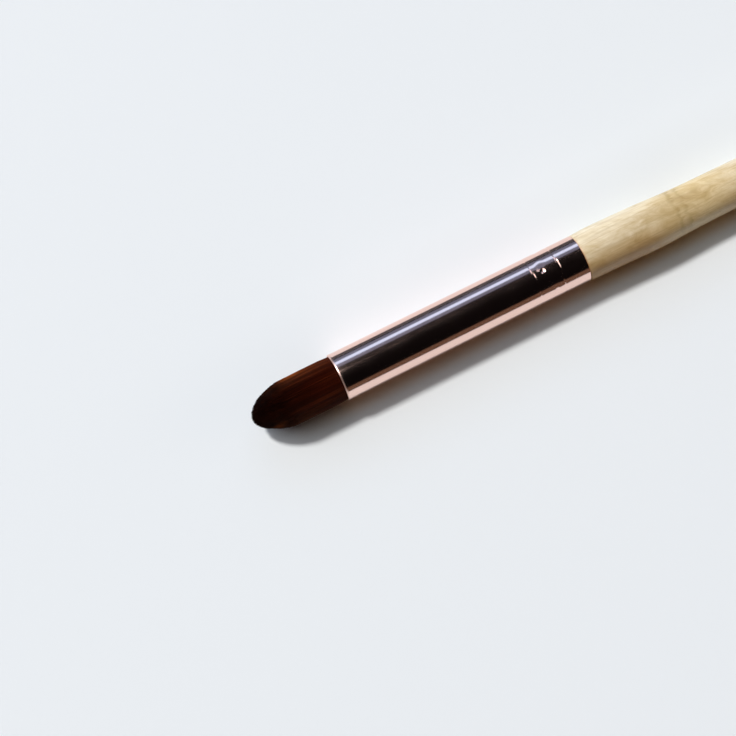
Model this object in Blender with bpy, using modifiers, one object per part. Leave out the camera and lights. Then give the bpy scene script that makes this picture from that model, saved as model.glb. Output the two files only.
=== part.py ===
"""Concealer brush: a bamboo handle, a rose gold ferrule and a domed tuft of brown filament.

Metres, +Z up. The brush lies along X as it lies on a table, tip towards -X, with the middle
of its length over the origin and its lowest point at Z = 0. Every piece is drawn along the
local Z of the empty brush_axis: 0 is the ferrule's mouth, the tuft is below 0, and the
handle is above it. Glue and thread inside the ferrule are pieces of their own.
"""

import math

import bmesh
import bpy
import numpy as np
from mathutils import Matrix

# How round the turned pieces are, and how closely pieces sit
SIDES = 32
SEAT_GAP = 0.00008
CUT_OVERRUN = 0.0010
MERGE_DISTANCE = 0.000001
SHARP_ANGLE = math.radians(30)

# Ferrule: a drawn aluminium tube with a rolled mouth, two rolled grooves and, between them, a ring
# of punched dimples that lie alternately nearer to the rear and further from it
FERRULE_LENGTH = 0.0435
FERRULE_RADIUS = 0.0040
FERRULE_WALL = 0.00025
LIP_LENGTH = 0.00040
LIP_TURN_IN = 0.00018
LIP_STEPS = 3
REAR_EDGE_BREAK = 0.00008
NEAR_GROOVE_FROM_REAR = 0.00430
FAR_GROOVE_FROM_REAR = 0.00865
GROOVE_WIDTH = 0.00050
GROOVE_DEPTH = 0.00008
GROOVE_FLOOR_SHARE = 0.35
DIMPLES_FROM_REAR = 0.00613
DIMPLE_STAGGER = 0.00030
DIMPLE_COUNT = 6
DIMPLE_PHASE = math.radians(-20)
DIMPLE_RADIUS = 0.00080
DIMPLE_DEPTH = 0.00018
DIMPLE_SIDES = 12
DIMPLE_RINGS = 16

# Handle: turned bamboo, with a tenon that fills the back of the ferrule
HANDLE_LENGTH = 0.1050
HANDLE_SWELL_RADIUS = 0.0041
HANDLE_TAIL_RADIUS = 0.0028
HANDLE_EDGE_BREAK = 0.00015
# Along the exposed handle, and how much of the swell is left over the tail's radius. The swell
# has a short straight land, which is what the brush lies on.
HANDLE_TAPER_SHARES = (
    (0.014, 0.96),
    (0.028, 1.00),
    (0.056, 1.00),
    (0.080, 0.96),
    (0.107, 0.87),
    (0.145, 0.72),
    (0.170, 0.63),
    (0.205, 0.56),
    (0.245, 0.53),
    (0.340, 0.46),
    (0.480, 0.34),
    (0.660, 0.18),
    (0.840, 0.05),
)
BUTT_LENGTH = 0.0024
BUTT_FLAT_RADIUS = 0.0012
BUTT_STEPS = 5
TENON_LENGTH = 0.0180
TENON_LAND_LENGTH = 0.0105
TENON_CHAMFER = 0.0006
GLUE_GROOVE_COUNT = 3
GLUE_GROOVE_PITCH = 0.0019
GLUE_GROOVE_WIDTH = 0.0006
GLUE_GROOVE_DEPTH = 0.00030
HANDLE_GLUE_THICKNESS = 0.00016

# Tuft: straight filaments set in a slice of resin, their ends on a dome. It stands out past the
# bore a little once it leaves the mouth.
TUFT_LENGTH = 0.0151
TUFT_FULL_FROM_MOUTH = 0.0015
TUFT_STANDS_OUT = 0.00005
TUFT_SWELL_SHARE = 1.012
DOME_LENGTH = 0.0056
DOME_POWER = 0.68
STRAND_RINGS = 10
STRANDS_PER_RING_STEP = 6
STRAND_RADIUS = 0.00015
STRAND_ROOT_SHARE = 0.85
STRAND_TIP_LENGTH = 0.0010
STRAND_TIP_SHARE = 0.15
RING_TURN = math.radians(137.5)
ROOT_DEPTH = 0.0090
ROOT_SLICE_LENGTH = 0.0015
ROOT_BITE_SHARE = 0.5
ROOT_GLUE_LENGTH = 0.0055
ROOT_GLUE_DISH = 0.0006
ROOT_GLUE_STEPS = 4

# Thread tied round the roots before the tuft is drawn into the ferrule
THREAD_RADIUS = 0.00015
THREAD_TURNS = 4
THREAD_PITCH = 0.00080
THREAD_POINTS_PER_TURN = 18
THREAD_FROM_ROOT = 0.0005

# Colours, as linear red, green and blue
BAMBOO = (0.72, 0.56, 0.34)
ROSE_GOLD = (0.93, 0.64, 0.54)
FILAMENT = (0.055, 0.014, 0.007)
RESIN = (0.62, 0.45, 0.22)
THREAD = (0.80, 0.76, 0.68)
WOOD_GLUE = (0.85, 0.80, 0.66)

# Sizes that follow from those above
BORE_RADIUS = FERRULE_RADIUS - FERRULE_WALL
SEAT_RADIUS = BORE_RADIUS - SEAT_GAP
SHOULDER = FERRULE_LENGTH + SEAT_GAP
HANDLE_END = SHOULDER + HANDLE_LENGTH
TENON_END = FERRULE_LENGTH - TENON_LENGTH
LAND_END = FERRULE_LENGTH - TENON_LAND_LENGTH
TENON_RADIUS = SEAT_RADIUS - HANDLE_GLUE_THICKNESS - SEAT_GAP
WHOLE_LENGTH = TUFT_LENGTH + HANDLE_END
AXIS_HEIGHT = max(HANDLE_SWELL_RADIUS, FERRULE_RADIUS) * math.cos(math.pi / SIDES)


def clear_scene():
    for obj in list(bpy.data.objects):
        bpy.data.objects.remove(obj)


def new_collection(name):
    made = bpy.data.collections.new(name)
    bpy.context.scene.collection.children.link(made)
    return made


def make_axis(group):
    """The brush's centreline: its local Z runs from the tuft to the butt, along +X."""
    axis = bpy.data.objects.new("brush_axis", None)
    axis.location = (TUFT_LENGTH - WHOLE_LENGTH / 2, 0, AXIS_HEIGHT)
    axis.rotation_euler = (0, math.pi / 2, 0)
    group.objects.link(axis)
    return axis


def make_material(name, colour, roughness, metallic=0.0):
    material = bpy.data.materials.new(name)
    material.use_nodes = True
    shader = material.node_tree.nodes["Principled BSDF"]
    shader.inputs["Base Color"].default_value = (*colour, 1.0)
    shader.inputs["Roughness"].default_value = roughness
    shader.inputs["Metallic"].default_value = metallic
    return material


def add_object(name, data, group, axis):
    obj = bpy.data.objects.new(name, data)
    obj.parent = axis
    group.objects.link(obj)
    return obj


def hide_helper(obj):
    obj.hide_render = True
    obj.display_type = "WIRE"
    return obj


def turned(name, outline, group, axis, closed=False):
    """Spins an outline of (z, radius) points. It runs along the outside towards the butt, and a
    closed one, a ring's, comes back along the inside. A flat side of the turned form faces down."""
    half_side = math.pi / SIDES
    points = [(r * math.cos(half_side), r * math.sin(half_side), z) for z, r in reversed(outline)]
    edges = [(i, i + 1) for i in range(len(points) - 1)]
    if closed:
        edges.append((len(points) - 1, 0))
    mesh = bpy.data.meshes.new(name)
    mesh.from_pydata(points, edges, [])
    obj = add_object(name, mesh, group, axis)
    screw = obj.modifiers.new("turn", "SCREW")
    screw.axis = "Z"
    screw.steps = SIDES
    screw.render_steps = SIDES
    screw.use_merge_vertices = True
    screw.merge_threshold = MERGE_DISTANCE
    return obj


def boolean(obj, operation, other):
    modifier = obj.modifiers.new(other.name, "BOOLEAN")
    modifier.operation = operation
    modifier.solver = "EXACT"
    modifier.object = other


def baked_mesh(obj):
    graph = bpy.context.evaluated_depsgraph_get()
    return bpy.data.meshes.new_from_object(obj.evaluated_get(graph))


def finish(obj, material):
    """Settles the modifiers, and shades the piece smooth between its real edges."""
    mesh = baked_mesh(obj)
    obj.modifiers.clear()
    obj.data = mesh
    mesh.materials.clear()
    mesh.materials.append(material)
    mesh.shade_smooth()
    mesh.set_sharp_from_angle(angle=SHARP_ANGLE)
    return obj


def tube_mesh(name, splines, group, axis, radius, resolution=0, profile=None):
    """A mesh of round or profiled tubes, one along each list of (x, y, z, radius share) points."""
    curve = bpy.data.curves.new(name + "_path", "CURVE")
    curve.dimensions = "3D"
    curve.use_fill_caps = True
    curve.bevel_depth = radius
    curve.bevel_resolution = resolution
    if profile:
        curve.bevel_mode = "OBJECT"
        curve.bevel_object = profile
    for points in splines:
        spline = curve.splines.new("POLY")
        spline.points.add(len(points) - 1)
        for point, (x, y, z, share) in zip(spline.points, points):
            point.co = (x, y, z, 1)
            point.radius = share
    path = add_object(name + "_path", curve, group, axis)
    mesh = baked_mesh(path)
    bpy.data.objects.remove(path)
    work = bmesh.new()
    work.from_mesh(mesh)
    bmesh.ops.remove_doubles(work, verts=work.verts, dist=MERGE_DISTANCE)
    bmesh.ops.recalc_face_normals(work, faces=work.faces)
    work.to_mesh(mesh)
    work.free()
    return add_object(name, mesh, group, axis)


# Ferrule


def crimp_outline(radius):
    """The two rolled grooves as (z, radius) points: dips in a wall of that radius."""
    floor = GROOVE_WIDTH * GROOVE_FLOOR_SHARE
    points = []
    for from_rear in (FAR_GROOVE_FROM_REAR, NEAR_GROOVE_FROM_REAR):
        middle = FERRULE_LENGTH - from_rear
        points += [
            (middle - GROOVE_WIDTH / 2, radius),
            (middle - floor / 2, radius - GROOVE_DEPTH),
            (middle + floor / 2, radius - GROOVE_DEPTH),
            (middle + GROOVE_WIDTH / 2, radius),
        ]
    return points


def dimple_punches(name, grow, group, axis):
    """Round-nosed punches that stand round the ferrule and press its dimples, made larger by grow."""
    nose = (DIMPLE_RADIUS**2 + DIMPLE_DEPTH**2) / (2 * DIMPLE_DEPTH)
    reach = FERRULE_RADIUS - DIMPLE_DEPTH + nose
    work = bmesh.new()
    for k in range(DIMPLE_COUNT):
        ball = bmesh.ops.create_uvsphere(
            work, u_segments=DIMPLE_SIDES, v_segments=DIMPLE_RINGS, radius=nose + grow
        )["verts"]
        stagger = DIMPLE_STAGGER * (-1) ** k
        middle = (reach, 0, FERRULE_LENGTH - DIMPLES_FROM_REAR + stagger)
        bmesh.ops.rotate(work, verts=ball, matrix=Matrix.Rotation(math.pi / 2, 3, "Y"))
        bmesh.ops.translate(work, verts=ball, vec=middle)
        angle = DIMPLE_PHASE + k * 2 * math.pi / DIMPLE_COUNT
        bmesh.ops.rotate(work, verts=ball, matrix=Matrix.Rotation(angle, 3, "Z"))
    mesh = bpy.data.meshes.new(name)
    work.to_mesh(mesh)
    work.free()
    return hide_helper(add_object(name, mesh, group, axis))


def make_ferrule(parts, cutters, axis, material):
    lip = []
    for i in range(LIP_STEPS + 1):
        turn = math.pi / 2 * i / LIP_STEPS
        radius = FERRULE_RADIUS - LIP_TURN_IN * (1 - math.sin(turn))
        lip.append((LIP_LENGTH * (1 - math.cos(turn)), radius))
    outside = [(0, 0), *lip, *crimp_outline(FERRULE_RADIUS)]
    outside += [
        (FERRULE_LENGTH - REAR_EDGE_BREAK, FERRULE_RADIUS),
        (FERRULE_LENGTH, FERRULE_RADIUS - REAR_EDGE_BREAK),
        (FERRULE_LENGTH, 0),
    ]
    ferrule = turned("ferrule", outside, parts, axis)

    bore = [
        (-CUT_OVERRUN, 0),
        (-CUT_OVERRUN, BORE_RADIUS),
        *crimp_outline(BORE_RADIUS),
        (FERRULE_LENGTH + CUT_OVERRUN, BORE_RADIUS),
        (FERRULE_LENGTH + CUT_OVERRUN, 0),
    ]
    core = hide_helper(turned("bore_core", bore, cutters, axis))
    boolean(core, "DIFFERENCE", dimple_punches("inner_punches", FERRULE_WALL, cutters, axis))
    boolean(ferrule, "DIFFERENCE", dimple_punches("outer_punches", 0, cutters, axis))
    boolean(ferrule, "DIFFERENCE", core)
    return finish(ferrule, material)


# Handle and the glue that holds it


def glue_grooves(radius, width, depth):
    """Grooves round the thin end of the tenon as (z, radius) points, from its end to its land."""
    span = (GLUE_GROOVE_COUNT - 1) * GLUE_GROOVE_PITCH
    first = (TENON_END + TENON_CHAMFER + LAND_END - span) / 2
    points = []
    for k in range(GLUE_GROOVE_COUNT):
        middle = first + k * GLUE_GROOVE_PITCH
        points += [
            (middle - width / 2, radius),
            (middle - width / 2, radius - depth),
            (middle + width / 2, radius - depth),
            (middle + width / 2, radius),
        ]
    return points


def handle_body():
    """The exposed handle as (z, radius) points, from the shoulder to the edge of its flat butt."""
    points = [
        (SHOULDER, FERRULE_RADIUS - HANDLE_EDGE_BREAK),
        (SHOULDER + HANDLE_EDGE_BREAK, FERRULE_RADIUS),
    ]
    swell = HANDLE_SWELL_RADIUS - HANDLE_TAIL_RADIUS
    for along, left in HANDLE_TAPER_SHARES:
        points.append((SHOULDER + HANDLE_LENGTH * along, HANDLE_TAIL_RADIUS + swell * left))
    rounding = HANDLE_TAIL_RADIUS - BUTT_FLAT_RADIUS
    for i in range(BUTT_STEPS + 1):
        turn = math.pi / 2 * i / BUTT_STEPS
        z = HANDLE_END - BUTT_LENGTH * (1 - math.sin(turn))
        points.append((z, BUTT_FLAT_RADIUS + rounding * math.cos(turn)))
    return points


def make_handle(parts, cutters, axis, material):
    outline = [
        (TENON_END, 0),
        (TENON_END, TENON_RADIUS - TENON_CHAMFER),
        (TENON_END + TENON_CHAMFER, TENON_RADIUS),
        *glue_grooves(TENON_RADIUS, GLUE_GROOVE_WIDTH, GLUE_GROOVE_DEPTH),
        (LAND_END, TENON_RADIUS),
        (LAND_END, SEAT_RADIUS),
        *crimp_outline(SEAT_RADIUS),
        (SHOULDER, SEAT_RADIUS),
        *handle_body(),
        (HANDLE_END, 0),
    ]
    handle = turned("handle", outline, parts, axis)
    room = FERRULE_WALL + SEAT_GAP
    boolean(handle, "DIFFERENCE", dimple_punches("tenon_punches", room, cutters, axis))
    return finish(handle, material)


def make_handle_glue(parts, axis, material):
    """The cured sleeve between the thin end of the tenon and the bore, ribbed by the grooves."""
    front = TENON_END + TENON_CHAMFER
    back = LAND_END - SEAT_GAP
    inside = glue_grooves(
        TENON_RADIUS + SEAT_GAP, GLUE_GROOVE_WIDTH - 2 * SEAT_GAP, GLUE_GROOVE_DEPTH
    )
    outline = [
        (front, SEAT_RADIUS),
        (back, SEAT_RADIUS),
        (back, TENON_RADIUS + SEAT_GAP),
        *reversed(inside),
        (front, TENON_RADIUS + SEAT_GAP),
    ]
    return finish(turned("handle_glue", outline, parts, axis, closed=True), material)


# Tuft, its resin and its thread


def tie_front():
    return ROOT_DEPTH - THREAD_FROM_ROOT - THREAD_TURNS * THREAD_PITCH


def thread_turn_radius():
    return SEAT_RADIUS - THREAD_RADIUS


def bundle_radius(z):
    """How far out the outermost strand's middle runs at z: drawn in at the thread, full just
    outside the mouth, and swelling a little towards the tip."""
    tied = thread_turn_radius() - THREAD_RADIUS - SEAT_GAP - STRAND_RADIUS
    full = BORE_RADIUS + TUFT_STANDS_OUT - STRAND_RADIUS
    if z >= -TUFT_FULL_FROM_MOUTH:
        share = (tie_front() - z) / (tie_front() + TUFT_FULL_FROM_MOUTH)
        return tied + (full - tied) * share
    share = (-TUFT_FULL_FROM_MOUTH - z) / (TUFT_LENGTH - TUFT_FULL_FROM_MOUTH)
    return full * (1 + (TUFT_SWELL_SHARE - 1) * share)


def strand_places():
    """(share of the bundle's radius, angle) of each strand, in rings that each hold six more."""
    places = [(0.0, 0.0)]
    for ring in range(1, STRAND_RINGS + 1):
        count = STRANDS_PER_RING_STEP * ring
        for k in range(count):
            places.append((ring / STRAND_RINGS, ring * RING_TURN + 2 * math.pi * k / count))
    return places


def strand_path(share, angle):
    tip = -TUFT_LENGTH + DOME_LENGTH * (1 - (1 - share**2) ** DOME_POWER)
    root = ROOT_DEPTH + ROOT_SLICE_LENGTH * ROOT_BITE_SHARE
    stations = (
        (root, STRAND_ROOT_SHARE),
        (-TUFT_FULL_FROM_MOUTH, 1),
        (tip + STRAND_TIP_LENGTH, 1),
        (tip, STRAND_TIP_SHARE),
    )
    path = []
    for z, thickness in stations:
        radius = share * bundle_radius(z)
        path.append((radius * math.cos(angle), radius * math.sin(angle), z, thickness))
    return path


def least_gap(points, apart, thickness):
    """The least gap between things of that thickness at points at least apart places apart."""
    places = np.array(points)
    least = math.inf
    for i in range(len(places) - apart):
        distances = np.linalg.norm(places[i + apart :] - places[i], axis=1)
        least = min(least, distances.min() - thickness)
    return least


def triangle_profile(group, axis):
    """The cross-section of a filament, drawn round."""
    curve = bpy.data.curves.new("strand_profile", "CURVE")
    spline = curve.splines.new("POLY")
    spline.points.add(2)
    spline.use_cyclic_u = True
    for k, point in enumerate(spline.points):
        angle = -2 * math.pi * k / 3
        point.co = (STRAND_RADIUS * math.cos(angle), STRAND_RADIUS * math.sin(angle), 0, 1)
    return hide_helper(add_object("strand_profile", curve, group, axis))


def make_tuft(parts, cutters, axis, material):
    paths = [strand_path(share, angle) for share, angle in strand_places()]
    profile = triangle_profile(cutters, axis)
    strands = tube_mesh("strands", paths, cutters, axis, STRAND_RADIUS, profile=profile)
    hide_helper(strands)
    roots = [path[0][:3] for path in paths]
    gap = least_gap(roots, 1, 2 * STRAND_RADIUS * STRAND_ROOT_SHARE)
    print(f"{len(paths)} strands, least gap at their roots {gap * 1000:.3f} mm")

    back = ROOT_DEPTH + ROOT_SLICE_LENGTH
    outline = [(ROOT_DEPTH, 0), (ROOT_DEPTH, SEAT_RADIUS), (back, SEAT_RADIUS), (back, 0)]
    tuft = turned("bristle_tuft", outline, parts, axis)
    boolean(tuft, "UNION", strands)
    return finish(tuft, material)


def make_root_glue(parts, axis, material):
    """The resin poured in behind the roots, with the dished face that it cures to."""
    front = ROOT_DEPTH + ROOT_SLICE_LENGTH + SEAT_GAP
    back = front + ROOT_GLUE_LENGTH
    outline = [(front, 0), (front, SEAT_RADIUS)]
    for i in range(ROOT_GLUE_STEPS + 1):
        out = 1 - i / ROOT_GLUE_STEPS
        outline.append((back - ROOT_GLUE_DISH * (1 - out**2), SEAT_RADIUS * out))
    return finish(turned("root_glue", outline, parts, axis), material)


def make_thread(parts, axis, material):
    points = []
    for i in range(THREAD_TURNS * THREAD_POINTS_PER_TURN + 1):
        turn = i / THREAD_POINTS_PER_TURN
        angle = 2 * math.pi * turn
        radius = thread_turn_radius()
        z = tie_front() + THREAD_PITCH * turn
        points.append((radius * math.cos(angle), radius * math.sin(angle), z, 1.0))
    places = [point[:3] for point in points]
    gap = least_gap(places, THREAD_POINTS_PER_TURN // 2, 2 * THREAD_RADIUS)
    print(f"binding thread, least gap to itself {gap * 1000:.3f} mm")
    thread = tube_mesh("binding_thread", [points], parts, axis, THREAD_RADIUS)
    return finish(thread, material)


def main():
    clear_scene()
    parts = new_collection("concealer_brush")
    cutters = new_collection("cutters")
    axis = make_axis(parts)
    resin = make_material("resin", RESIN, 0.25)
    make_ferrule(parts, cutters, axis, make_material("rose_gold", ROSE_GOLD, 0.08, 1.0))
    make_handle(parts, cutters, axis, make_material("bamboo", BAMBOO, 0.42))
    make_handle_glue(parts, axis, make_material("wood_glue", WOOD_GLUE, 0.35))
    make_tuft(parts, cutters, axis, make_material("filament", FILAMENT, 0.4))
    make_root_glue(parts, axis, resin)
    make_thread(parts, axis, make_material("thread", THREAD, 0.8))


main()
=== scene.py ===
"""Looks for the concealer brush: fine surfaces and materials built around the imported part.

Metres, in the part's own frame: +X runs from the tuft to the butt, +Z is up, and the brush lies
on Z = 0. Places along the brush are given as s, the distance from the ferrule's mouth towards
the butt, and places round it as phi, the angle from straight up towards -Y.
"""

import math

import bpy
import numpy as np
from mathutils import Matrix, Vector


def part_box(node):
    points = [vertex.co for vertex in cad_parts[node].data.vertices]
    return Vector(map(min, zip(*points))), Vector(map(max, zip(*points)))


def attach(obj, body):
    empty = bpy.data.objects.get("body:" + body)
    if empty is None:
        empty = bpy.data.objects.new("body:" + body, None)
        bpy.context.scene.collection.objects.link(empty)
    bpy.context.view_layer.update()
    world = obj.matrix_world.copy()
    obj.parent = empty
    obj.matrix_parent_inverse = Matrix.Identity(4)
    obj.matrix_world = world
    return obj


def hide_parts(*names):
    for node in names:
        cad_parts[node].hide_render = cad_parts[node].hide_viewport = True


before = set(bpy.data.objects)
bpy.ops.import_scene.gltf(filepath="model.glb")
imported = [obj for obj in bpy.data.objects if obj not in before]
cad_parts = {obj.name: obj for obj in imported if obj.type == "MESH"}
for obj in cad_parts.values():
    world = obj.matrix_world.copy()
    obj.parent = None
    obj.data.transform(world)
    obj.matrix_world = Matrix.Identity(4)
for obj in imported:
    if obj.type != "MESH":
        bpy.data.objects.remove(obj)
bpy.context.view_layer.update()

# The photograph's frame, and where it shows the middle of the ferrule's mouth
IMAGE_SIDE_PX = 736
MOUTH_X_PX = 337.6
MOUTH_Y_PX = 378.1
PIXELS_PER_METRE = 6345

# How the camera stands to the brush
LEAN_TO_FRONT = math.radians(5)
LEAN_TO_TIP = math.radians(7)
BRUSH_SLOPE = math.radians(26.33)
CAMERA_DISTANCE = 0.30
SENSOR_WIDTH_MM = 36

# The table, and the dark sheet on it behind the brush, which only the metal shows
TABLE_SIDE = 16
FLAG_FROM = 0.0226
FLAG_DEPTH = 1.0
FLAG_WIDTH = 2.0
FLAG_HEIGHT = 0.0003

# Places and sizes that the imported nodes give
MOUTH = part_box("ferrule")[0].x
FERRULE_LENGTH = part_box("ferrule")[1].x - MOUTH
FERRULE_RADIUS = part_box("ferrule")[1].y
AXIS_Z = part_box("ferrule")[1].z - FERRULE_RADIUS
TENON_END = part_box("handle")[0].x - MOUTH
TIP_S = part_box("bristle_tuft")[0].x - MOUTH
TUFT_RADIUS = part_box("bristle_tuft")[1].y

# The ferrule's wall, its rolled lip and its rear edge
FERRULE_SIDES = 384
WALL = 0.00025
LIP_LENGTH = 0.00024
LIP_TURN_IN = 0.00016
LIP_STEPS = 10
REAR_EDGE_BREAK = 0.00010

# Its two grooves, each a distance from the rear and a depth
GROOVES = ((0.00440, 0.000042), (0.00878, 0.000034))
GROOVE_HALF_WIDTH = 0.00025

# Its dimples, each a wide dent with a punch mark beside the middle
DIMPLES_FROM_REAR = 0.00660
DIMPLE_STAGGER = 0.00060
DIMPLE_PHASE = math.radians(-19)
DIMPLE_STRENGTHS = (1.0, 0.3, 0.9, 1.0, 0.7, 0.95)
DENT_HALF_LENGTH = 0.00110
DENT_HALF_WIDTH = 0.00130
DENT_DEPTH = 0.000065
PUNCH_RADIUS = 0.00055
PUNCH_DEPTH = 0.00011
PUNCH_OFF_CENTRE = 0.00085

# How far apart the ferrule's rings of points lie
PLAIN_STEP = 0.002
REAR_STEP = 0.001
PRESSED_STEP = 0.00005
PRESSED_STEP_INSIDE = 0.0002

# The handle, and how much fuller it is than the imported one, and bowed, behind the ferrule
HANDLE_SIDES = 128
HANDLE_STEP = 0.0008
SHOULDER_EDGE = 0.00015
TENON_GAP = 0.0001
FULLER = 0.062
BOW = 0.00028
FULLER_STARTS = (0.046, 0.060)
FULLER_ENDS = (0.078, 0.142)

# The tuft: its outline, which ends on a dome
FULL_FROM_MOUTH = 0.0015
MOUTH_PLAY = 0.00003
DOME_LENGTH = 0.0056
DOME_POWER = 0.68
ROOTS_S = 0.0020

# Its fibres, in rings and in locks that end together. Those inside are short
FIBRE_SEED = 7
FIBRE_RADIUS = 0.000062
FIBRE_SIDES = 4
FIBRE_SPACING = 1.02
LONG_RINGS = 3
LONG_JOINTS = 9
SHORT_JOINTS = 4
SHORT_LENGTH = 0.0035
RINGS_PER_LOCK = 4
LOCKS_ROUND = 19
LOCK_SPREAD = 0.00016
TIP_SPREAD = 0.00010
LEAN_SPREAD = 0.00005
WAVE_DEPTH = 0.00003

# The dark mass behind them
CORE_SIDES = 48
CORE_RINGS = 24
CORE_BEHIND_FIBRES = 0.00045
CORE_BEHIND_TIP = 0.0007

# Painted light, an amber glow where light would shine through the tuft: s, Y, reach along and
# across in millimetres, and strength
PAINTED_GLOW_LOCKS = (
    (-6.8, 3.7, 2.8, 0.8, 0.75),
    (-5.0, 4.0, 7.0, 2.8, 0.26),
    (-11.7, -2.9, 1.9, 0.7, 0.40),
    (-7.5, -4.1, 6.0, 1.5, 0.30),
)

# Where a joint of the bamboo was turned away: the place of each ring, its half width and strength
NODE_RINGS = ((0.0610, 0.0034, 0.22), (0.0603, 0.0006, 0.40), (0.0619, 0.0005, 0.30))
MILLIMETRES = 1000

# Glowing cards: azimuth, elevation and half the angles they span, in degrees, then their colour
CARD_DISTANCE = 3.0
CARDS = (
    ("window", -3, 29.75, 24, 7.25, (0.60, 0.90, 1.32)),
    ("window_glow", 0, 29, 60, 23, (0.150, 0.195, 0.30)),
    ("mouth_card", 120, 22, 14, 12, (0.45, 0.40, 0.38)),
    ("left_window", 45, 30, 17, 20, (0.85, 0.88, 0.95)),
    ("front_card", 180, 13, 50, 10, (0.130, 0.082, 0.056)),
    ("right_card", 245, 20, 12, 12, (0.50, 0.26, 0.11)),
)


# Node helpers


class Nodes:
    """A material's nodes, with short calls for the ones used here."""

    def __init__(self, name):
        self.material = bpy.data.materials.new(name)
        self.material.use_nodes = True
        self.tree = self.material.node_tree
        self.shader = self.tree.nodes["Principled BSDF"]
        self.place = self.tree.nodes.new("ShaderNodeTexCoord").outputs["Object"]

    def node(self, kind, **settings):
        made = self.tree.nodes.new("ShaderNode" + kind)
        for key, value in settings.items():
            setattr(made, key, value)
        return made

    def put(self, socket, value):
        """Links a socket to another one, or gives it a colour or a number."""
        if isinstance(value, bpy.types.NodeSocket):
            self.tree.links.new(value, socket)
        elif hasattr(socket.default_value, "__len__") and len(socket.default_value) == 4:
            socket.default_value = (*value, 1.0)
        else:
            socket.default_value = value

    def set(self, **values):
        """Sets the shader's inputs, named with _ for each space."""
        for key, value in values.items():
            self.put(self.shader.inputs[key.replace("_", " ")], value)

    def math(self, operation, a, b=0.0, c=0.0, clamp=False):
        made = self.node("Math", operation=operation, use_clamp=clamp)
        for socket, value in zip(made.inputs, (a, b, c)):
            self.put(socket, value)
        return made.outputs[0]

    def stretched(self, along, across, tilt=0.0):
        """Coordinates scaled along the brush and across it, for grain. tilt slants the grain."""
        made = self.node("Mapping", vector_type="TEXTURE")
        self.put(made.inputs["Vector"], self.place)
        made.inputs["Rotation"].default_value = (0, 0, tilt)
        made.inputs["Scale"].default_value = (1 / along, 1 / across, 1 / across)
        return made.outputs[0]

    def noise(self, vector, detail=2.0, rough=0.5, distortion=0.0):
        made = self.node("TexNoise")
        self.put(made.inputs["Vector"], vector)
        made.inputs["Scale"].default_value = 1.0
        made.inputs["Detail"].default_value = detail
        made.inputs["Roughness"].default_value = rough
        made.inputs["Distortion"].default_value = distortion
        return made.outputs["Fac"]

    def ramp(self, value, *stops):
        """stops are (position, colour or grey)."""
        made = self.node("ValToRGB")
        self.put(made.inputs["Fac"], value)
        elements = made.color_ramp.elements
        while len(elements) < len(stops):
            elements.new(0.5)
        for element, (position, colour) in zip(elements, stops):
            element.position = position
            colour = (colour,) * 3 if isinstance(colour, (int, float)) else colour
            element.color = (*colour, 1.0)
        return made.outputs["Color"]

    def mix(self, share, a, b, blend="MIX"):
        made = self.node("Mix", data_type="RGBA", blend_type=blend)
        self.put(made.inputs["Factor"], share)
        self.put(made.inputs["A"], a)
        self.put(made.inputs["B"], b)
        return made.outputs["Result"]

    def bump(self, height, distance):
        made = self.node("Bump")
        made.inputs["Distance"].default_value = distance
        self.put(made.inputs["Height"], height)
        self.put(self.shader.inputs["Normal"], made.outputs["Normal"])

    def split(self):
        """s in millimetres from the mouth, and Y and Z in millimetres from the brush's axis."""
        parts = self.node("SeparateXYZ")
        self.put(parts.inputs[0], self.place)
        middles = (MOUTH, 0.0, AXIS_Z)
        return [
            self.math("MULTIPLY", self.math("SUBTRACT", socket, middle), MILLIMETRES)
            for socket, middle in zip(parts.outputs, middles)
        ]

    def near(self, value, middle, half_width):
        """1 at the middle, falling smoothly to 0 at half_width either side."""
        off = self.math("DIVIDE", self.math("SUBTRACT", value, middle), half_width)
        left = self.math("SUBTRACT", 1.0, self.math("MULTIPLY", off, off), clamp=True)
        return self.math("MULTIPLY", left, left)


# Materials


def rose_gold():
    """A drawn, polished tube: faint lines and smears, and a rim that handling has dulled."""
    n = Nodes("rose_gold")
    s, _, _ = n.split()
    lines = n.noise(n.stretched(30, 5200), detail=3)
    smears = n.noise(n.stretched(260, 700), detail=4)
    worn = n.math("MULTIPLY", n.near(s, 0.0, 0.5), 0.26)
    n.set(
        Base_Color=n.mix(smears, (0.93, 0.63, 0.54), (0.97, 0.69, 0.60)),
        Metallic=1.0,
        Roughness=n.math("ADD", n.math("MULTIPLY_ADD", smears, 0.08, 0.09), worn),
    )
    lines = n.math("MULTIPLY", lines, 0.55)
    n.bump(n.math("ADD", lines, n.math("MULTIPLY", smears, 1.3)), 0.0000008)
    return n.material


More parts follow.
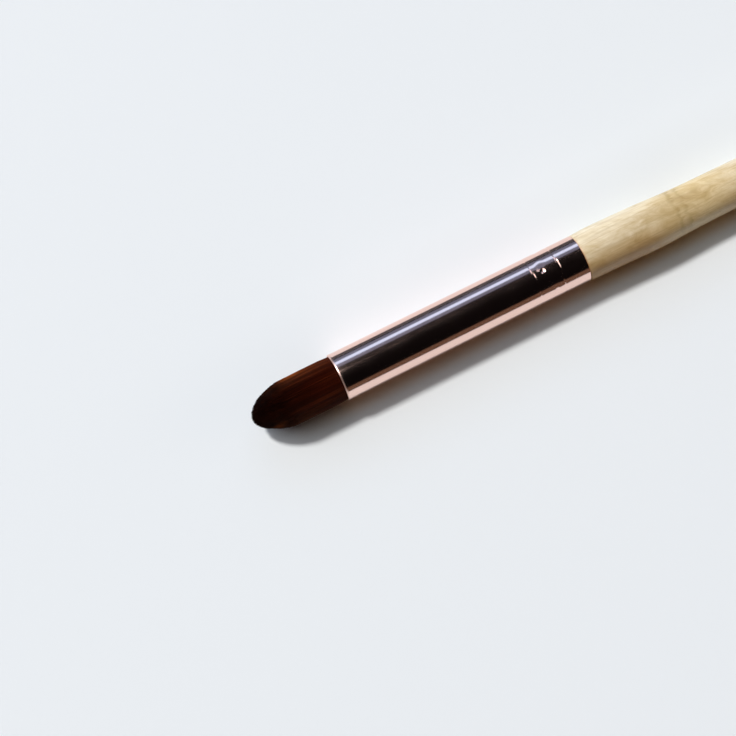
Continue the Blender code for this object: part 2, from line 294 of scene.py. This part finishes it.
def bamboo():
    """Fine grain and mottling, with painted shade: browner towards -Y, the side that lies in shade.
    """
    n = Nodes("bamboo")
    s, y, _ = n.split()
    blotches = n.stretched(230, 520, tilt=math.radians(-12))
    mottle = n.noise(blotches, detail=5, rough=0.66, distortion=1.2)
    bands = n.noise(n.stretched(45, 330), detail=3, distortion=0.5)
    fibres = n.noise(n.stretched(110, 3600), detail=4, rough=0.6)

    # Pale wood with darker fibres
    tone = n.math("MULTIPLY_ADD", mottle, 0.55, n.math("MULTIPLY", bands, 0.45))
    colour = n.ramp(
        tone,
        (0.30, (0.55, 0.41, 0.20)),
        (0.42, (0.68, 0.55, 0.34)),
        (0.54, (0.79, 0.68, 0.48)),
        (0.68, (0.86, 0.78, 0.60)),
    )
    colour = n.mix(n.ramp(fibres, (0.28, 0.40), (0.52, 0.0)), colour, (0.42, 0.29, 0.13))

    # Painted shade: browner towards -Y, the shaded side, and less so near the joint, where it turns
    # a paler yellow and a stain runs along the top instead
    painted_shade = n.ramp(
        n.math("MULTIPLY_ADD", y, 0.125, 0.5),
        (0.08, (0.66, 0.46, 0.25)),
        (0.26, (0.82, 0.69, 0.50)),
        (0.46, (0.98, 0.96, 0.93)),
        (0.80, (1.0, 1.0, 1.0)),
    )
    painted_shade = n.mix(n.math("MULTIPLY", n.near(s, 64.0, 12.0), 0.88), painted_shade, (0.98, 0.90, 0.70))
    colour = n.mix(1.0, colour, painted_shade, "MULTIPLY")
    stain = n.math("MULTIPLY", n.near(s, 60.0, 12.0), n.ramp(mottle, (0.35, 0.72), (0.60, 0.42)))
    stain = n.math("MULTIPLY", stain, n.near(y, 0.6, 2.4))
    colour = n.mix(stain, colour, (0.42, 0.29, 0.12))

    # Broken rings that wander a little, where the joint was
    wander = n.math("MULTIPLY", n.math("SUBTRACT", mottle, 0.5), 3.0)
    patches = n.ramp(n.noise(n.stretched(60, 480), detail=3), (0.36, 0.15), (0.62, 1.0))
    for middle, half_width, strength in NODE_RINGS:
        off = n.math("ADD", s, wander)
        ring = n.near(off, middle * MILLIMETRES, half_width * MILLIMETRES)
        share = n.math("MULTIPLY", n.math("MULTIPLY", ring, patches), strength)
        colour = n.mix(share, colour, (0.34, 0.22, 0.06))

    n.set(
        Base_Color=colour,
        Roughness=n.math("MULTIPLY_ADD", fibres, 0.20, 0.32),
        Specular_IOR_Level=0.30,
        Coat_Weight=0.34,
        Coat_Roughness=0.18,
    )
    n.bump(n.math("ADD", fibres, n.math("MULTIPLY", mottle, 0.5)), 0.00002)
    return n.material


def filament():
    """Brown filament in locks of uneven tone, nearly black at the tips, with a painted amber glow
    where light would shine through.
    """
    n = Nodes("filament")
    s, y, _ = n.split()
    island = n.node("NewGeometry").outputs["Random Per Island"]
    lock = n.noise(n.stretched(70, 1100), detail=3)
    tone = n.math("MULTIPLY_ADD", island, 0.40, n.math("MULTIPLY", lock, 0.60))
    colour = n.ramp(
        tone,
        (0.30, (0.020, 0.0022, 0.0008)),
        (0.50, (0.037, 0.0047, 0.0014)),
        (0.66, (0.062, 0.0098, 0.0026)),
        (0.80, (0.100, 0.0210, 0.0050)),
    )

    # Darker towards the tips, each lock from its own place
    wander = n.math("MULTIPLY", n.math("SUBTRACT", lock, 0.5), 9.0)
    depth = n.math("DIVIDE", n.math("ADD", s, wander), TIP_S * MILLIMETRES, clamp=True)
    dark = n.ramp(depth, (0.25, 0.0), (0.78, 0.98))
    dark = n.math("MULTIPLY", dark, n.math("MULTIPLY_ADD", island, -0.16, 1.0))
    colour = n.mix(dark, colour, (0.0016, 0.0004, 0.0002))

    # Painted light: an amber glow painted where light would shine through the tuft
    painted_glow = n.ramp(tone, (0.35, 0.3), (0.6, 1.0))
    for along, across, reach, width, strength in PAINTED_GLOW_LOCKS:
        painted_glow_mask = n.math("MULTIPLY", n.near(s, along, reach), n.near(y, across, width))
        share = n.math("MULTIPLY", n.math("MULTIPLY", painted_glow_mask, strength), painted_glow)
        colour = n.mix(share, colour, (0.30, 0.072, 0.011))

    n.set(
        Base_Color=colour,
        Roughness=n.math("MULTIPLY_ADD", island, 0.14, 0.36),
        Specular_IOR_Level=0.12,
        Specular_Tint=(1.0, 0.42, 0.22),
    )
    n.bump(n.noise(n.stretched(400, 9000)), 0.000004)
    return n.material


def cured(name, pale, dark, roughness):
    """Resin or glue: cloudy, with small bubbles."""
    n = Nodes(name)
    cloud = n.noise(n.stretched(500, 500), detail=4)
    bubbles = n.noise(n.stretched(4000, 4000), detail=1)
    n.set(
        Base_Color=n.mix(cloud, dark, pale),
        Roughness=n.math("MULTIPLY_ADD", cloud, 0.2, roughness),
    )
    n.bump(bubbles, 0.00003)
    return n.material


def twisted_thread():
    """Undyed thread, matt and fuzzy."""
    n = Nodes("thread")
    fuzz = n.noise(n.stretched(6000, 6000), detail=5, rough=0.7)
    n.set(
        Base_Color=n.mix(fuzz, (0.62, 0.57, 0.48), (0.86, 0.82, 0.74)),
        Roughness=n.math("MULTIPLY_ADD", fuzz, 0.2, 0.75),
    )
    n.bump(fuzz, 0.00005)
    return n.material


def table_top():
    """A pale board, with painted shade: a little greyer beside the brush on its lit side, and a
    painted brown shadow tint right against its shaded side.
    """
    n = Nodes("table_top")
    s, y, _ = n.split()
    cloud = n.noise(n.stretched(6, 6), detail=3)
    colour = n.mix(cloud, (0.857, 0.903, 0.928), (0.877, 0.918, 0.943))
    # Painted shade: greyer beside the brush on its lit side, offsetting the light that the ferrule
    # throws there
    painted_dimming = n.math("MULTIPLY", n.near(s, 62.0, 110.0), n.near(y, 5.0, 11.0))
    colour = n.mix(n.math("MULTIPLY", painted_dimming, 0.075), colour, (0.0, 0.0, 0.0))
    # Painted shadow: a warm brown tint on the board along the brush's shaded side, from just ahead
    # of the mouth to near the butt
    start = n.math("MULTIPLY_ADD", s, 0.1, 1.0, clamp=True)
    end = n.math("MULTIPLY_ADD", s, -0.1, 15.0, clamp=True)
    painted_shadow_span = n.math("MULTIPLY", n.math("MULTIPLY", start, end), 0.82)
    painted_shadow_tint = n.math("MULTIPLY", painted_shadow_span, n.near(y, -3.6, 3.2))
    colour = n.mix(painted_shadow_tint, colour, n.mix(1.0, colour, (0.86, 0.61, 0.40), "MULTIPLY"))
    n.set(Base_Color=colour, Roughness=0.6, Specular_IOR_Level=0.0)
    return n.material


def dark_cloth():
    n = Nodes("dark_cloth")
    n.set(Base_Color=(0.085, 0.093, 0.105), Roughness=1.0, Specular_IOR_Level=0.0)
    return n.material


# Mesh helpers


def place(s, radius, phi):
    return (MOUTH + s, -radius * math.sin(phi), AXIS_Z + radius * math.cos(phi))


def new_piece(name, vertices, faces, material, sharp_degrees=40):
    mesh = bpy.data.meshes.new(name)
    mesh.from_pydata(vertices, [], faces)
    mesh.validate()
    mesh.materials.append(material)
    mesh.shade_smooth()
    mesh.set_sharp_from_angle(angle=math.radians(sharp_degrees))
    piece = bpy.data.objects.new(name, mesh)
    bpy.context.scene.collection.objects.link(piece)
    return piece


def turned(name, outline, sides, material, dent=None, ring=False):
    """Spins an outline of (s, radius) points that runs along the outside towards the butt. A ring
    comes back along its inside. dent gives how far the surface lies in at (s, phi)."""
    phis = [2 * math.pi * k / sides for k in range(sides)]
    vertices = []
    for s, radius in outline:
        for phi in phis:
            depth = dent(s, phi) if dent else 0
            vertices.append(place(s, radius - depth, phi))
    count = len(outline)
    faces = []
    for i in range(count if ring else count - 1):
        here = i * sides
        after = (i + 1) % count * sides
        for k in range(sides):
            following = (k + 1) % sides
            faces.append((here + k, here + following, after + following, after + k))
    if not ring:
        faces.append(list(reversed(range(sides))))
        faces.append([(count - 1) * sides + k for k in range(sides)])
    return new_piece(name, vertices, faces, material)


def steps(start, end, size):
    """Even places from start up to end, without end itself, at most size apart."""
    count = max(1, math.ceil((end - start) / size))
    return [start + (end - start) * i / count for i in range(count)]


# Ferrule


def groove_depth(s):
    depth = 0
    for from_rear, deepest in GROOVES:
        off = abs(s - (FERRULE_LENGTH - from_rear)) / GROOVE_HALF_WIDTH
        if off < 1:
            depth = deepest * math.cos(off * math.pi / 2) ** 2
    return depth


def pit(along, around):
    """A soft round hollow, 1 deep at its middle and 1 in radius."""
    off = along**2 + around**2
    return (1 - off) ** 2 if off < 1 else 0


def dimple_depth(s, phi):
    """A ring of dents with their punch marks, at two distances from the rear in turn."""
    pitch = 2 * math.pi / len(DIMPLE_STRENGTHS)
    nearest = round((phi - DIMPLE_PHASE) / pitch)
    around = (phi - DIMPLE_PHASE - nearest * pitch) * FERRULE_RADIUS
    from_rear = DIMPLES_FROM_REAR + DIMPLE_STAGGER * (-1) ** nearest
    along = s - (FERRULE_LENGTH - from_rear)
    dent = DENT_DEPTH * pit(along / DENT_HALF_LENGTH, around / DENT_HALF_WIDTH)
    off_centre = around - PUNCH_OFF_CENTRE
    punch = PUNCH_DEPTH * pit(along / PUNCH_RADIUS, off_centre / PUNCH_RADIUS)
    return DIMPLE_STRENGTHS[nearest % len(DIMPLE_STRENGTHS)] * (dent + punch)


def crimp(s, phi):
    return groove_depth(s) + dimple_depth(s, phi)


def make_ferrule():
    inside = FERRULE_RADIUS - WALL
    rear = FERRULE_LENGTH - REAR_EDGE_BREAK
    crimp_start = FERRULE_LENGTH - GROOVES[1][0] - 2 * GROOVE_HALF_WIDTH
    crimp_end = FERRULE_LENGTH - GROOVES[0][0] + 2 * GROOVE_HALF_WIDTH
    outline = []
    for i in range(LIP_STEPS):
        turn = math.pi / 2 * i / LIP_STEPS
        radius = FERRULE_RADIUS - LIP_TURN_IN * (1 - math.sin(turn))
        outline.append((LIP_LENGTH * (1 - math.cos(turn)), radius))
    stations = steps(LIP_LENGTH, crimp_start, PLAIN_STEP)
    stations += steps(crimp_start, crimp_end, PRESSED_STEP)
    stations += steps(crimp_end, rear, REAR_STEP)
    stations.append(rear)
    outline += [(s, FERRULE_RADIUS) for s in stations]
    outline.append((FERRULE_LENGTH, FERRULE_RADIUS - REAR_EDGE_BREAK))
    outline.append((FERRULE_LENGTH, inside))
    stations = steps(crimp_start, crimp_end, PRESSED_STEP_INSIDE)
    outline += [(s, inside) for s in reversed(stations)]
    outline.append((0, inside))
    piece = turned("ferrule_shell", outline, FERRULE_SIDES, rose_gold(), dent=crimp, ring=True)
    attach(piece, "root")
    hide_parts("ferrule")


# Handle


def cad_outline(node, start):
    """(s, radius) of each ring of a turned node beyond start, from its mesh."""
    rings = {}
    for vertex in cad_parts[node].data.vertices:
        s = vertex.co.x - MOUTH
        if s > start:
            radius = math.hypot(vertex.co.y, vertex.co.z - AXIS_Z)
            key = round(s, 6)
            rings[key] = max(rings.get(key, 0), radius)
    return sorted(rings.items())


def smooth_outline(points, size):
    """A finer outline along a curve through the points that never overshoots them."""
    s = np.array([p[0] for p in points])
    r = np.array([p[1] for p in points])
    h = np.diff(s)
    slopes = np.diff(r) / h
    tangents = np.zeros(len(s))
    for i in range(1, len(s) - 1):
        if slopes[i - 1] * slopes[i] > 0:
            before = 2 * h[i] + h[i - 1]
            after = h[i] + 2 * h[i - 1]
            tangents[i] = (before + after) / (before / slopes[i - 1] + after / slopes[i])
    outline = []
    for i in range(len(s) - 1):
        for x in steps(s[i], s[i + 1], size):
            t = (x - s[i]) / h[i]
            radius = (
                (1 + 2 * t) * (1 - t) ** 2 * r[i]
                + t * (1 - t) ** 2 * h[i] * tangents[i]
                + t**2 * (3 - 2 * t) * r[i + 1]
                - t**2 * (1 - t) * h[i] * tangents[i + 1]
            )
            outline.append((x, radius))
    outline.append((s[-1], r[-1]))
    return outline


def smooth_step(value, start, end):
    share = min(1, max(0, (value - start) / (end - start)))
    return share * share * (3 - 2 * share)


def behind_joint(s):
    """How much of the handle's fullness and bow there is: none at the ferrule and at the butt."""
    return smooth_step(s, *FULLER_STARTS) - smooth_step(s, *FULLER_ENDS)


def make_handle():
    """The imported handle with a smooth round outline, which never reaches below the table."""
    rings = cad_outline("handle", FERRULE_LENGTH + SHOULDER_EDGE)
    shoulder = cad_outline("handle", FERRULE_LENGTH)[0]
    tenon = FERRULE_RADIUS - WALL - TENON_GAP
    outline = [(TENON_END, tenon), (shoulder[0], tenon), shoulder]
    outline += smooth_outline(rings, HANDLE_STEP)
    widest = max(radius for _, radius in rings)
    to_round = AXIS_Z / widest
    outline = [
        (s, min(AXIS_Z, radius * to_round * (1 + FULLER * behind_joint(s))))
        for s, radius in outline
    ]
    piece = turned("bamboo_handle", outline, HANDLE_SIDES, bamboo())
    for vertex in piece.data.vertices:
        vertex.co.y -= BOW * behind_joint(vertex.co.x - MOUTH)
    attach(piece, "root")
    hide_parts("handle")


# Tuft


def tuft_radius(s):
    """The tuft's outer radius: just inside the lip at the mouth, full soon after it."""
    mouth = FERRULE_RADIUS - WALL - MOUTH_PLAY
    share = min(1, max(0, -s / FULL_FROM_MOUTH))
    return mouth + (TUFT_RADIUS - mouth) * math.sin(share * math.pi / 2)


def dome(share):
    """How far behind the very tip a fibre ends, at a share of the tuft's radius."""
    return DOME_LENGTH * (1 - (1 - min(1, share) ** 2) ** DOME_POWER)


def tube(vertices, faces, path, radii, sides):
    """Adds a thin tube along a path that runs roughly along X, closed at both ends."""
    first = len(vertices)
    for (x, y, z), radius in zip(path, radii):
        for k in range(sides):
            angle = 2 * math.pi * k / sides
            vertices.append((x, y + radius * math.cos(angle), z + radius * math.sin(angle)))
    for i in range(len(path) - 1):
        for k in range(sides):
            a = first + i * sides + k
            b = first + i * sides + (k + 1) % sides
            faces.append((a, a + sides, b + sides, b))
    faces.append([first + k for k in range(sides)])
    faces.append([first + (len(path) - 1) * sides + k for k in reversed(range(sides))])


def fibre(share, phi, start, tip, joints, lean, wave):
    """The path of a slightly wavy fibre from start to tip, and its radius at each joint. share is
    its place between the tuft's middle and its outside, and lean how far its tip lies aside."""
    path = []
    radii = []
    for i in range(joints):
        t = i / (joints - 1)
        s = start + (tip - start) * (1 - (1 - t) ** 1.4)
        radius = share * (tuft_radius(s) - FIBRE_RADIUS)
        radius += WAVE_DEPTH * math.sin(wave + 9 * t) * min(1, t * 3) - WAVE_DEPTH
        turn = phi + (lean * t + WAVE_DEPTH * math.sin(wave + 7 * t)) / FERRULE_RADIUS
        path.append(place(s, max(radius, 0), turn))
        radii.append(FIBRE_RADIUS * (1 - 0.75 * max(0, (t - 0.7) / 0.3) ** 2))
    return path, radii


def make_fibres(material):
    random = np.random.default_rng(FIBRE_SEED)
    vertices = []
    faces = []
    pitch = 2 * FIBRE_RADIUS * FIBRE_SPACING
    outer = tuft_radius(-FULL_FROM_MOUTH) - FIBRE_RADIUS
    rings = int(outer / pitch)
    locks = abs(random.normal(0, LOCK_SPREAD, (rings // RINGS_PER_LOCK + 1, LOCKS_ROUND)))
    for ring in range(rings, -1, -1):
        share = ring / rings
        count = max(1, int(2 * math.pi * outer * share / pitch))
        long = rings - ring < LONG_RINGS
        for k in range(count):
            phi = 2 * math.pi * (k + random.uniform(-0.3, 0.3)) / count + ring * 2.4
            lock = locks[ring // RINGS_PER_LOCK, int(phi * 3) % LOCKS_ROUND]
            tip = TIP_S + dome(share * 0.995) + lock + abs(random.normal(0, TIP_SPREAD))
            start = ROOTS_S if long else tip + SHORT_LENGTH
            joints = LONG_JOINTS if long else SHORT_JOINTS
            lean = random.normal(0, LEAN_SPREAD)
            wave = random.uniform(0, 2 * math.pi)
            path, radii = fibre(share, phi, start, tip, joints, lean, wave)
            tube(vertices, faces, path, radii, FIBRE_SIDES)
    fibres = new_piece("tuft_fibres", vertices, faces, material, sharp_degrees=80)
    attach(fibres, "root")
    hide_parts("bristle_tuft")


def make_core(material):
    """The dark mass of filament behind the outer fibres."""
    outline = []
    for i in range(CORE_RINGS):
        share = math.sin(i / (CORE_RINGS - 1) * math.pi / 2)
        s = TIP_S + CORE_BEHIND_TIP + dome(share)
        outline.append((s, max(0.0001, share * (tuft_radius(s) - CORE_BEHIND_FIBRES))))
    outline.append((ROOTS_S, tuft_radius(0) - CORE_BEHIND_FIBRES))
    core = turned("tuft_core", outline, CORE_SIDES, material)
    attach(core, "root")


# What lies inside the ferrule


def dress_inner_pieces():
    resin = cured("resin", (0.66, 0.49, 0.25), (0.50, 0.33, 0.13), 0.15)
    glue = cured("wood_glue", (0.87, 0.82, 0.69), (0.76, 0.70, 0.54), 0.3)
    for node, material in (
        ("root_glue", resin),
        ("handle_glue", glue),
        ("binding_thread", twisted_thread()),
    ):
        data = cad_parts[node].data
        data.materials.clear()
        data.materials.append(material)


# Stage, lights and camera


def make_table():
    bpy.ops.mesh.primitive_plane_add(size=TABLE_SIDE, location=(0, 0, 0))
    table = bpy.context.object
    table.name = "table"
    table.data.materials.append(table_top())


def make_flag():
    """The dark sheet that only the metal shows, as a dark line along the tube."""
    material = dark_cloth()
    middle = (0, FLAG_FROM + FLAG_DEPTH / 2, FLAG_HEIGHT)
    bpy.ops.mesh.primitive_plane_add(size=1, location=middle)
    flag = bpy.context.object
    flag.name = "flag"
    flag.scale = (FLAG_WIDTH, FLAG_DEPTH, 1.0)
    flag.data.materials.append(material)
    for kind in ("camera", "diffuse", "transmission", "volume_scatter", "shadow"):
        setattr(flag, "visible_" + kind, False)


def towards(azimuth, elevation):
    """A direction, in degrees: azimuth turns from +Y towards -X, elevation is up from the table."""
    turn = math.radians(azimuth)
    up = math.radians(elevation)
    return Vector((-math.sin(turn) * math.cos(up), math.cos(turn) * math.cos(up), math.sin(up)))


def add_lamp(name, kind, direction, distance, **settings):
    """A lamp that shines at the origin from a direction."""
    data = bpy.data.lights.new(name, kind)
    for key, value in settings.items():
        setattr(data, key, value)
    lamp = bpy.data.objects.new(name, data)
    back = direction.normalized()
    right = Vector((0, 0, 1)).cross(back).normalized()
    axes = Matrix((right, back.cross(right), back)).transposed()
    lamp.matrix_world = Matrix.Translation(back * distance) @ axes.to_4x4()
    lamp.visible_camera = False
    bpy.context.scene.collection.objects.link(lamp)


def add_card(name, direction, distance, width, height, radiance):
    """A glowing rectangle that faces the brush. Its width lies level, and radiance is a colour."""
    brightest = max(radiance)
    add_lamp(
        name,
        "AREA",
        direction,
        distance,
        shape="RECTANGLE",
        size=width,
        size_y=height,
        color=[part / brightest for part in radiance],
        energy=brightest * math.pi * width * height,
    )


def card_spans(distance, elevation, half_azimuth, half_elevation):
    """The width and height of a card that spans these angles, in degrees."""
    level = distance * math.cos(math.radians(elevation))
    width = 2 * level * math.tan(math.radians(half_azimuth))
    height = 2 * distance * math.tan(math.radians(half_elevation))
    return width, height


def make_lights():
    add_lamp(
        "key",
        "SUN",
        Vector((-0.38, 0.71, 1.0)),
        2.0,
        color=(1.0, 0.965, 0.93),
        energy=2.58,
        angle=math.radians(7),
    )
    add_card("glow", Vector((-0.55, 0.42, 1.0)), 1.2, 0.64, 1.12, (1.50, 1.50, 1.52))
    add_card("strip", towards(-37.5, 39), 2.0, 0.28, 1.20, (1.1, 1.1, 1.2))
    for name, azimuth, elevation, half_azimuth, half_elevation, radiance in CARDS:
        spans = card_spans(CARD_DISTANCE, elevation, half_azimuth, half_elevation)
        add_card(name, towards(azimuth, elevation), CARD_DISTANCE, *spans, radiance)


def make_world():
    """A dark room, pale where the camera itself sees past the table."""
    world = bpy.data.worlds.new("studio")
    world.use_nodes = True
    tree = world.node_tree
    room = tree.nodes["Background"]
    room.inputs["Color"].default_value = (1.0, 0.88, 1.0, 1)
    room.inputs["Strength"].default_value = 0.003
    pale = tree.nodes.new("ShaderNodeBackground")
    pale.inputs["Color"].default_value = (0.80, 0.84, 0.86, 1)
    seen = tree.nodes.new("ShaderNodeLightPath").outputs["Is Camera Ray"]
    mixed = tree.nodes.new("ShaderNodeMixShader")
    tree.links.new(seen, mixed.inputs[0])
    tree.links.new(room.outputs[0], mixed.inputs[1])
    tree.links.new(pale.outputs[0], mixed.inputs[2])
    tree.links.new(mixed.outputs[0], tree.nodes["World Output"].inputs["Surface"])
    bpy.context.scene.world = world


def make_camera():
    """The photograph's view: the ferrule's mouth lands on its pixel, at the brush's own slope."""
    back = Vector(
        (
            -math.sin(LEAN_TO_TIP),
            -math.sin(LEAN_TO_FRONT) * math.cos(LEAN_TO_TIP),
            math.cos(LEAN_TO_FRONT) * math.cos(LEAN_TO_TIP),
        )
    )
    along = Vector((1, 0, 0))
    along = (along - along.dot(back) * back).normalized()
    across = back.cross(along)
    right = along * math.cos(BRUSH_SLOPE) - across * math.sin(BRUSH_SLOPE)
    up = back.cross(right)
    middle = IMAGE_SIDE_PX / 2
    aim = Vector((MOUTH, 0, AXIS_Z))
    aim -= right * (MOUTH_X_PX - middle) / PIXELS_PER_METRE
    aim += up * (MOUTH_Y_PX - middle) / PIXELS_PER_METRE
    data = bpy.data.cameras.new("camera")
    data.sensor_width = SENSOR_WIDTH_MM
    view_width = IMAGE_SIDE_PX / PIXELS_PER_METRE
    data.lens = SENSOR_WIDTH_MM * CAMERA_DISTANCE / view_width
    camera = bpy.data.objects.new("camera", data)
    camera.matrix_world = Matrix.Translation(aim + back * CAMERA_DISTANCE) @ (
        Matrix((right, up, back)).transposed().to_4x4()
    )
    bpy.context.scene.collection.objects.link(camera)
    bpy.context.scene.camera = camera


def main():
    make_camera()
    make_table()
    make_flag()
    make_lights()
    make_world()
    make_ferrule()
    make_handle()
    material = filament()
    make_fibres(material)
    make_core(material)
    dress_inner_pieces()
    bpy.context.scene.view_settings.view_transform = "Standard"


main()
